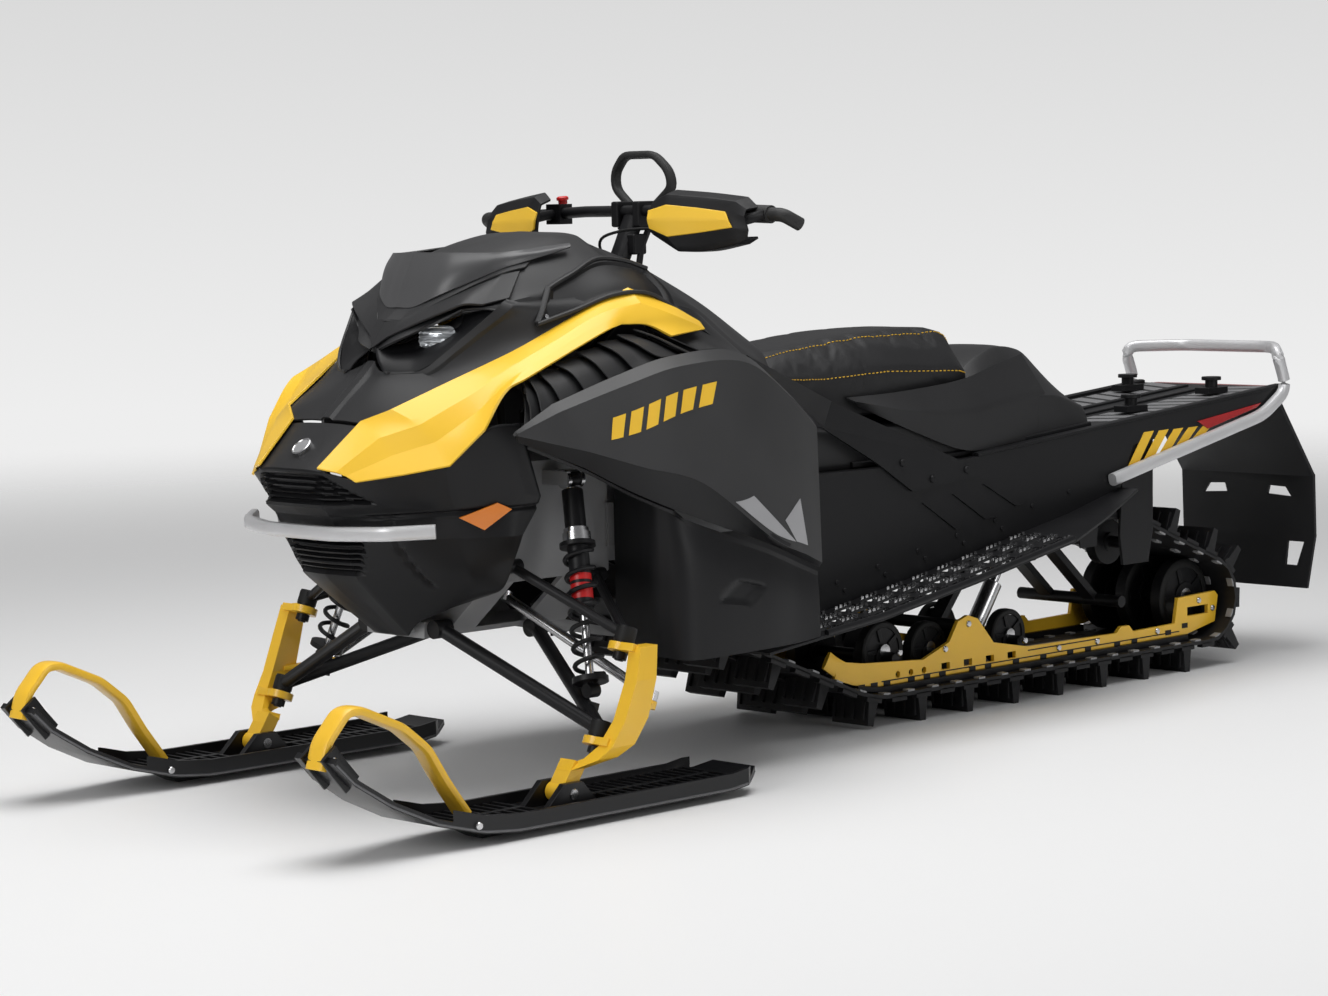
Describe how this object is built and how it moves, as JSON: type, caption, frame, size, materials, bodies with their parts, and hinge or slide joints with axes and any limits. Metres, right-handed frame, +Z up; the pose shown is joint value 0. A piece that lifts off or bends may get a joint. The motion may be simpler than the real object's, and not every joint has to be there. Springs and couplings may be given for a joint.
{
  "type": "snowmobile",
  "caption": "Trail snowmobile with two steered skis, a tunnel over a rubber drive track, stepped bodywork, padded seat and wide handlebar.",
  "frame": {"origin": "on the floor, under the middle of the overall box", "axes": "+X forward along the length, +Y to the rider's left, +Z up"},
  "size_m": [3.132, 1.056, 1.1697],
  "materials": {
    "yellow_panel": "satin yellow moulded plastic",
    "yellow_metal": "yellow paint",
    "dark_plastic": "satin charcoal moulded plastic",
    "black_metal": "black powder coat",
    "grey_metal": "grey paint on folded sheet",
    "silver_tube": "silver paint",
    "bare_metal": "bare machined metal",
    "alloy": "cast alloy",
    "rubber_black": "moulded rubber",
    "ski_plastic": "black slippery plastic",
    "seat_cover": "dark vinyl cover with yellow stitching",
    "shield_smoke": "smoked gloss plastic",
    "lamp_lens": "clear lens over a bright reflector",
    "amber_lens": "amber reflector",
    "red_lens": "red lamp lens",
    "strap_cover": "woven strap over foam"
  },
  "bodies": {
    "chassis": {"belly_pan": "dark_plastic", "bulkhead": "grey_metal", "cargo_anchors": "dark_plastic", "carrier_rollers": "dark_plastic", "colour_panel_left": "yellow_panel", "colour_panel_right": "yellow_panel", "dash_cowl": "dark_plastic", "dash_gauge": "dark_plastic", "drive_axle": "black_metal", "engine_block": "alloy", "front_bumper": "silver_tube", "front_shocks": "black_metal", "front_springs": "black_metal", "fuel_tank": "dark_plastic", "headlamps": "lamp_lens", "hood_center": "dark_plastic", "lower_arms": "black_metal", "nose_fascia": "dark_plastic", "rail_left": "yellow_metal", "rail_right": "yellow_metal", "rail_wheels": "dark_plastic", "rear_bumper": "silver_tube", "rear_cowl": "dark_plastic", "rear_reflectors": "red_lens", "rear_wheels": "dark_plastic", "running_board_left": "black_metal", "running_board_right": "black_metal", "seat": "seat_cover", "side_braces": "black_metal", "side_panel_left": "dark_plastic", "side_panel_right": "dark_plastic", "side_reflectors": "amber_lens", "skid_shock": "black_metal", "slide_runners": "dark_plastic", "snow_flap": "rubber_black", "steering_hoop": "black_metal", "swing_arms": "black_metal", "tail_lamp": "red_lens", "track": "rubber_black", "tunnel": "black_metal", "upper_arms": "black_metal", "vent_louvres": "dark_plastic", "windshield": "shield_smoke"},
    "handlebar": {"steering_post": "black_metal", "handlebar_tube": "black_metal", "grips": "rubber_black", "hand_guards": "dark_plastic", "strap_loop": "strap_cover", "bar_controls": "dark_plastic", "guard_inserts": "yellow_panel"},
    "spindle_left": {"spindle_left": "yellow_metal"},
    "ski_left": {"ski_left": "ski_plastic", "ski_loop_left": "yellow_panel"},
    "tie_rod_left": {"tie_rod_left": "bare_metal"},
    "spindle_right": {"spindle_right": "yellow_metal"},
    "ski_right": {"ski_right": "ski_plastic", "ski_loop_right": "yellow_panel"},
    "tie_rod_right": {"tie_rod_right": "bare_metal"}
  },
  "joints": [
    {"name": "steer", "type": "hinge", "parent": "chassis", "child": "handlebar", "pos_m": [0.43, 0, 0.9], "axis": [-0.1582, 0, 0.9874], "range_deg": [-32, 32]},
    {"name": "spindle_left_turn", "type": "hinge", "parent": "chassis", "child": "spindle_left", "pos_m": [0.942, 0.456, 0.152], "axis": [-0.3813, 0, 0.9244], "range_deg": [-28, 28]},
    {"name": "tie_rod_left_swing", "type": "hinge", "parent": "spindle_left", "child": "tie_rod_left", "pos_m": [0.814, 0.45, 0.197], "axis": [-0.3813, 0, 0.9244], "range_deg": [-28, 28]},
    {"name": "ski_left_pitch", "type": "hinge", "parent": "spindle_left", "child": "ski_left", "pos_m": [1.026, 0.44, 0.05], "axis": [0, 1, 0], "range_deg": [-18, 12]},
    {"name": "spindle_right_turn", "type": "hinge", "parent": "chassis", "child": "spindle_right", "pos_m": [0.942, -0.456, 0.152], "axis": [-0.3813, 0, 0.9244], "range_deg": [-28, 28]},
    {"name": "tie_rod_right_swing", "type": "hinge", "parent": "spindle_right", "child": "tie_rod_right", "pos_m": [0.814, -0.45, 0.197], "axis": [-0.3813, 0, 0.9244], "range_deg": [-28, 28]},
    {"name": "ski_right_pitch", "type": "hinge", "parent": "spindle_right", "child": "ski_right", "pos_m": [1.026, -0.44, 0.05], "axis": [0, 1, 0], "range_deg": [-18, 12]}
  ],
  "couplings": [
    {"joint": "spindle_left_turn", "follows": "steer", "ratio": 0.85},
    {"joint": "tie_rod_left_swing", "follows": "steer", "ratio": -0.85},
    {"joint": "spindle_right_turn", "follows": "steer", "ratio": 0.85},
    {"joint": "tie_rod_right_swing", "follows": "steer", "ratio": -0.85}
  ]
}
